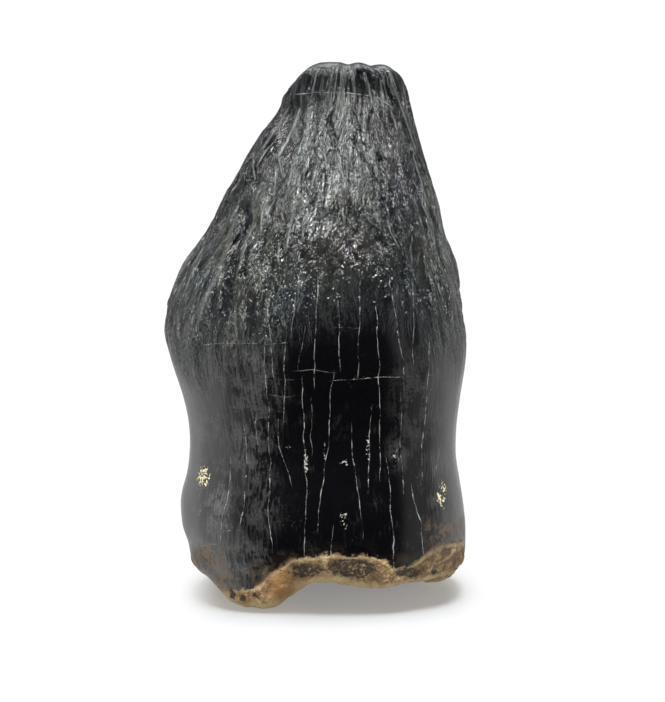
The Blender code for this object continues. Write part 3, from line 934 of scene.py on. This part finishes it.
def fossilMaterial():
    # Black enamel and root over a broken foot of tan and cream bone.
    material = newMaterial("black_fossil")
    make = Nodes(material.node_tree)
    on = fossilFields(make)
    crown, stain, crack = on["crown"], on["stain"], on["crack"]

    # The black skin, with its pale cracks and crusts.
    skin = make.blend(crown, rootColour(make, on), enamelColour(make, on))
    skin = make.blend(crack, skin, fossil["crackPale"])
    crust = make.step(make.weigh((on["pale"], 0.5), (on["speckle"], 0.42), (on["patchy"], 0.16)), 0.74, 0.88)
    crust = make.times(crust, make.step(on["pale"], 0.05, 0.3))
    skin = make.blend(crust, skin, make.blend(on["middle"], fossil["yellow"], fossil["crackPale"]))

    # It ends in a ragged edge, softer where the tooth is stained, and some brown has seeped up from the bone.
    edge = make.weigh((on["rind"], 1.0), (on["mottle"], 0.6), (on["speckle"], 0.15))
    high = make.calc("MULTIPLY_ADD", stain, 0.75, 0.56)
    low = make.calc("MULTIPLY_ADD", stain, -0.5, 0.2)
    bare = make.step(edge, high, low)
    colour = make.blend(bare, skin, boneColour(make, on))
    seep = make.times(make.step(edge, 2.2, 0.3), make.step(on["wide"], 0.3, 0.8, 0.0, 0.1))
    seep = make.most(seep, make.times(stain, make.step(on["mottle"], 0.1, 0.9, 0.65, 1.0)))
    seep = make.times(seep, make.rest(bare))
    soaked = make.step(make.weigh((on["mottle"], 0.6), (on["dark"], 0.4)), 0.3, 0.62)
    colour = make.blend(seep, colour, make.blend(soaked, fossil["darkBrown"], fossil["seep"]))

    rough = make.weigh(
        (crown, fossil["enamelRough"] - fossil["rootRough"]), (on["speckle"], 0.08),
        (1.0, fossil["rootRough"] - 0.04),
    )
    sunk = make.times(crown, make.most(on["dent"], on["tip"]))
    rough = make.calc("MULTIPLY_ADD", sunk, -0.1, rough)
    wornDown = make.times(on["blunt"], make.calc("MULTIPLY_ADD", on["seen"], -0.4, 1.0))
    rough = make.calc("MULTIPLY_ADD", wornDown, 0.42, rough)
    loose = make.most(make.most(bare, seep), make.most(crack, crust))
    rough = make.most(rough, make.times(loose, fossil["boneRough"]))

    shader = make.add("ShaderNodeBsdfPrincipled", {
        "Base Color": colour,
        "Roughness": rough,
        "Metallic": 0.0,
        "IOR": fossil["refraction"],
        "Normal": fossilBumps(make, on, bare),
    })
    output = make.add("ShaderNodeOutputMaterial")
    make.tree.links.new(shader.outputs[0], output.inputs[0])
    return material


def makeTooth():
    mesh = smoothForm()
    sculpt(mesh)
    savePatches(mesh)
    mesh.shade_smooth()
    mesh.materials.clear()
    mesh.materials.append(fossilMaterial())
    piece = bpy.data.objects.new("fossil_tooth", mesh)
    scene.collection.objects.link(piece)
    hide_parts("tooth")
    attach(piece, "root")
    print("tooth made")


# A light tent stands round the tooth, dark only where the camera looks in. Angles are degrees from the camera's
# side, positive to the right, and degrees above the horizon. The rest is radiance.
tent = {
    "leftDim": (-29, -42, 0.65),
    "leftPanel": (-54, -64, 1.3),
    "rightDim": (40, 58, 0.35),
    "rightPanel": (68, 84, 1.05),
    "sideTop": (10, 32, 0.14),
    "roof": (18, 62, 0.14),
    "frontDark": 0.01,
    "behind": (120, 150, 0.7),
}
boxes = {
    "key": {"turn": -10, "rise": 67, "away": 0.7, "size": 0.22, "bright": 104.0},
    "top": {"turn": 10, "rise": 88, "away": 0.9, "size": 0.46, "bright": 15.5},
}
lampsAim = (0, 0, 0.03)


def makeLights():
    for name, given in boxes.items():
        turn, rise = math.radians(given["turn"]), math.radians(given["rise"])
        out = Vector((math.sin(turn) * math.cos(rise), -math.cos(turn) * math.cos(rise), math.sin(rise)))
        lamp = bpy.data.lights.new(name + "_box", "AREA")
        lamp.shape = "DISK"
        lamp.size = given["size"]
        lamp.energy = given["bright"] * math.pi * math.pi * lamp.size**2 / 4
        box = bpy.data.objects.new(name + "_box", lamp)
        facing = out.to_track_quat("Z", "Y").to_matrix().to_4x4()
        box.matrix_world = Matrix.Translation(Vector(lampsAim) + out * given["away"]) @ facing
        box.visible_camera = False
        scene.collection.objects.link(box)
        if name == "key":
            # The key lights the tooth alone, so the floor keeps only the soft shadow of the top box.
            lit = bpy.data.collections.new("lit_by_key")
            lit.objects.link(bpy.data.objects["fossil_tooth"])
            box.light_linking.receiver_collection = lit
    print("lamps placed")


def makeTent():
    world = bpy.data.worlds.new("tent")
    world.use_nodes = True
    world.cycles.sampling_method = "NONE"
    make = Nodes(world.node_tree)
    direction = make.add("ShaderNodeSeparateXYZ", {0: make.add("ShaderNodeTexCoord").outputs["Generated"]})
    x, y, z = direction.outputs
    turn = make.calc("ARCTAN2", x, make.times(y, -1.0))
    rise = make.calc("ARCSINE", z)

    def panel(value, name):
        low, high, bright = tent[name]
        return make.step(value, math.radians(low), math.radians(high), 0.0, bright)

    sides = 0.0
    for name in ("leftDim", "leftPanel", "rightDim", "rightPanel"):
        sides = make.most(sides, panel(turn, name))
    low, high, behind = tent["behind"]
    away = make.step(make.calc("ABSOLUTE", turn), math.radians(low), math.radians(high))
    sides = make.calc("ADD", sides, make.times(away, make.calc("SUBTRACT", behind, sides)))
    low, high, left = tent["sideTop"]
    sides = make.times(sides, make.step(rise, math.radians(low), math.radians(high), 1.0, left))
    bright = make.most(panel(rise, "roof"), make.calc("ADD", sides, tent["frontDark"]))
    glow = make.add("ShaderNodeBackground", {"Color": (1, 1, 1, 1), "Strength": bright})
    output = make.add("ShaderNodeOutputWorld")
    make.tree.links.new(glow.outputs[0], output.inputs[0])
    scene.world = world
    print("tent raised")


# The floor is a wide white sheet that curves up all round. It glows white beyond the tooth's soft shadow, whose patch
# reaches further to the front and back.
floorSheet = {
    "reach": 3.0,
    "rings": 40,
    "turns": 96,
    "flat": 0.8,
    "curve": 0.25,
    "white": (0.87, 0.895, 0.92),
    "glowMiddle": (0.0018, 0.0, 0.0),
    "glowShape": (1.0, 0.6, 1.0),
    "glowFrom": 0.011,
    "glowFull": 0.0165,
    "glowNear": 0.21,
    "glow": 1.02,
}


def makeFloor():
    shape = bmesh.new()
    turns = [2 * math.pi * i / floorSheet["turns"] for i in range(floorSheet["turns"])]
    rows = []
    for ring in range(floorSheet["rings"] + 1):
        far = floorSheet["reach"] * ring / floorSheet["rings"]
        rise = floorSheet["curve"] * max(0.0, far - floorSheet["flat"]) ** 2
        rows.append([shape.verts.new((far * math.cos(turn), far * math.sin(turn), rise)) for turn in turns])
    for low, high in zip(rows, rows[1:]):
        for i in range(floorSheet["turns"]):
            nextOne = (i + 1) % floorSheet["turns"]
            shape.faces.new((low[i], low[nextOne], high[nextOne], high[i]))
    bmesh.ops.remove_doubles(shape, verts=shape.verts, dist=1e-6)
    bmesh.ops.recalc_face_normals(shape, faces=shape.faces)
    mesh = bpy.data.meshes.new("floor")
    shape.to_mesh(mesh)
    shape.free()
    mesh.shade_smooth()
    material = newMaterial("floor_white")
    make = Nodes(material.node_tree)
    plain = make.add("ShaderNodeBsdfDiffuse", {"Color": (*floorSheet["white"], 1)})
    glow = make.add("ShaderNodeEmission", {"Color": (1, 1, 1, 1), "Strength": floorSheet["glow"]})
    place = make.add("ShaderNodeTexCoord").outputs["Object"]
    near = make.add("ShaderNodeVectorMath", {0: place}, operation="SUBTRACT")
    make.feed(near.inputs[1], floorSheet["glowMiddle"])
    near = make.stretch(near.outputs[0], floorSheet["glowShape"])
    far = make.add("ShaderNodeVectorMath", {0: near}, operation="LENGTH")
    share = make.step(far.outputs["Value"], floorSheet["glowFrom"], floorSheet["glowFull"], floorSheet["glowNear"])
    shader = make.add("ShaderNodeMixShader", {0: share, 1: plain.outputs[0], 2: glow.outputs[0]})
    output = make.add("ShaderNodeOutputMaterial")
    make.tree.links.new(shader.outputs[0], output.inputs[0])
    mesh.materials.append(material)
    floor = bpy.data.objects.new("floor", mesh)
    floor.visible_glossy = False
    scene.collection.objects.link(floor)
    print("floor laid")


makeCamera()
makeTooth()
makeTent()
makeLights()
makeFloor()
scene.view_settings.view_transform = "Standard"
scene.view_settings.look = "None"
